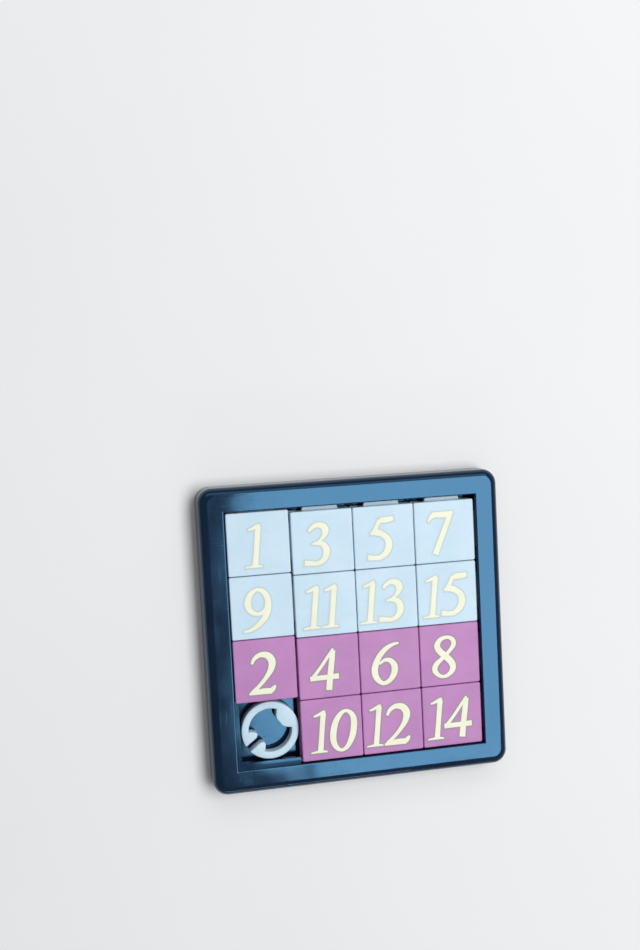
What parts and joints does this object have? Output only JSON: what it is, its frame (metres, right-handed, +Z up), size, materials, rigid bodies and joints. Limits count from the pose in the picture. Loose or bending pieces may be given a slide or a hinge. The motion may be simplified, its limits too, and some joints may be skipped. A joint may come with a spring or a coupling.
{
  "type": "sliding tile puzzle",
  "caption": "Flat square sliding puzzle: numbered tiles held by tongues and grooves in a frame, with one empty cell and a loose split ring lying in it.",
  "frame": {"origin": "under the middle of the frame, on the surface the puzzle lies on", "axes": "+Z up out of the tiles' faces, +X to the right along the rows, +Y to the top row"},
  "size_m": [0.063, 0.063, 0.006],
  "materials": {
    "blue_plastic": "glossy moulded polystyrene",
    "white_plastic": "glossy moulded polystyrene",
    "orchid_plastic": "glossy moulded polystyrene"
  },
  "bodies": {
    "case": {"frame": "blue_plastic", "back_plate": "blue_plastic"},
    "tile_1": {"tile_1": "white_plastic"},
    "tile_2": {"tile_2": "orchid_plastic"},
    "tile_3": {"tile_3": "white_plastic"},
    "tile_4": {"tile_4": "orchid_plastic"},
    "tile_5": {"tile_5": "white_plastic"},
    "tile_6": {"tile_6": "orchid_plastic"},
    "tile_7": {"tile_7": "white_plastic"},
    "tile_8": {"tile_8": "orchid_plastic"},
    "tile_9": {"tile_9": "white_plastic"},
    "tile_10": {"tile_10": "orchid_plastic"},
    "tile_11": {"tile_11": "white_plastic"},
    "tile_12": {"tile_12": "orchid_plastic"},
    "tile_13": {"tile_13": "white_plastic"},
    "tile_14": {"tile_14": "orchid_plastic"},
    "tile_15": {"tile_15": "white_plastic"},
    "ring": {"ring": "white_plastic"}
  },
  "joints": [
    {"name": "tile_1_slide", "type": "slide", "parent": "case", "child": "tile_1", "axis": [0, -1, 0], "range_m": [0, 0.01365]},
    {"name": "tile_9_slide", "type": "slide", "parent": "case", "child": "tile_9", "axis": [0, -1, 0], "range_m": [0, 0.01365]},
    {"name": "tile_2_slide", "type": "slide", "parent": "case", "child": "tile_2", "axis": [0, -1, 0], "range_m": [0, 0.01365]},
    {"name": "tile_3_slide", "type": "slide", "parent": "case", "child": "tile_3", "axis": [0, 1, 0], "range_m": [0, 0.00065]},
    {"name": "tile_11_slide", "type": "slide", "parent": "case", "child": "tile_11", "axis": [0, 1, 0], "range_m": [0, 0.00065]},
    {"name": "tile_4_slide", "type": "slide", "parent": "case", "child": "tile_4", "axis": [0, 1, 0], "range_m": [0, 0.00065]},
    {"name": "tile_10_slide", "type": "slide", "parent": "case", "child": "tile_10", "axis": [0, 1, 0], "range_m": [0, 0.00065]},
    {"name": "tile_5_slide", "type": "slide", "parent": "case", "child": "tile_5", "axis": [0, 1, 0], "range_m": [0, 0.00065]},
    {"name": "tile_13_slide", "type": "slide", "parent": "case", "child": "tile_13", "axis": [0, 1, 0], "range_m": [0, 0.00065]},
    {"name": "tile_6_slide", "type": "slide", "parent": "case", "child": "tile_6", "axis": [0, 1, 0], "range_m": [0, 0.00065]},
    {"name": "tile_12_slide", "type": "slide", "parent": "case", "child": "tile_12", "axis": [0, 1, 0], "range_m": [0, 0.00065]},
    {"name": "tile_7_slide", "type": "slide", "parent": "case", "child": "tile_7", "axis": [0, 1, 0], "range_m": [0, 0.00065]},
    {"name": "tile_15_slide", "type": "slide", "parent": "case", "child": "tile_15", "axis": [0, 1, 0], "range_m": [0, 0.00065]},
    {"name": "tile_8_slide", "type": "slide", "parent": "case", "child": "tile_8", "axis": [0, 1, 0], "range_m": [0, 0.00065]},
    {"name": "tile_14_slide", "type": "slide", "parent": "case", "child": "tile_14", "axis": [0, 1, 0], "range_m": [0, 0.00065]},
    {"name": "ring_lift", "type": "slide", "parent": "case", "child": "ring", "axis": [0, 0, 1], "range_m": [0, 0.08873]}
  ],
  "couplings": [
    {"joint": "tile_9_slide", "follows": "tile_1_slide", "ratio": 1},
    {"joint": "tile_2_slide", "follows": "tile_1_slide", "ratio": 1},
    {"joint": "tile_11_slide", "follows": "tile_3_slide", "ratio": 1},
    {"joint": "tile_4_slide", "follows": "tile_3_slide", "ratio": 1},
    {"joint": "tile_10_slide", "follows": "tile_3_slide", "ratio": 1},
    {"joint": "tile_13_slide", "follows": "tile_5_slide", "ratio": 1},
    {"joint": "tile_6_slide", "follows": "tile_5_slide", "ratio": 1},
    {"joint": "tile_12_slide", "follows": "tile_5_slide", "ratio": 1},
    {"joint": "tile_15_slide", "follows": "tile_7_slide", "ratio": 1},
    {"joint": "tile_8_slide", "follows": "tile_7_slide", "ratio": 1},
    {"joint": "tile_14_slide", "follows": "tile_7_slide", "ratio": 1},
    {"joint": "ring_lift", "follows": "tile_1_slide", "ratio": 6.5}
  ]
}
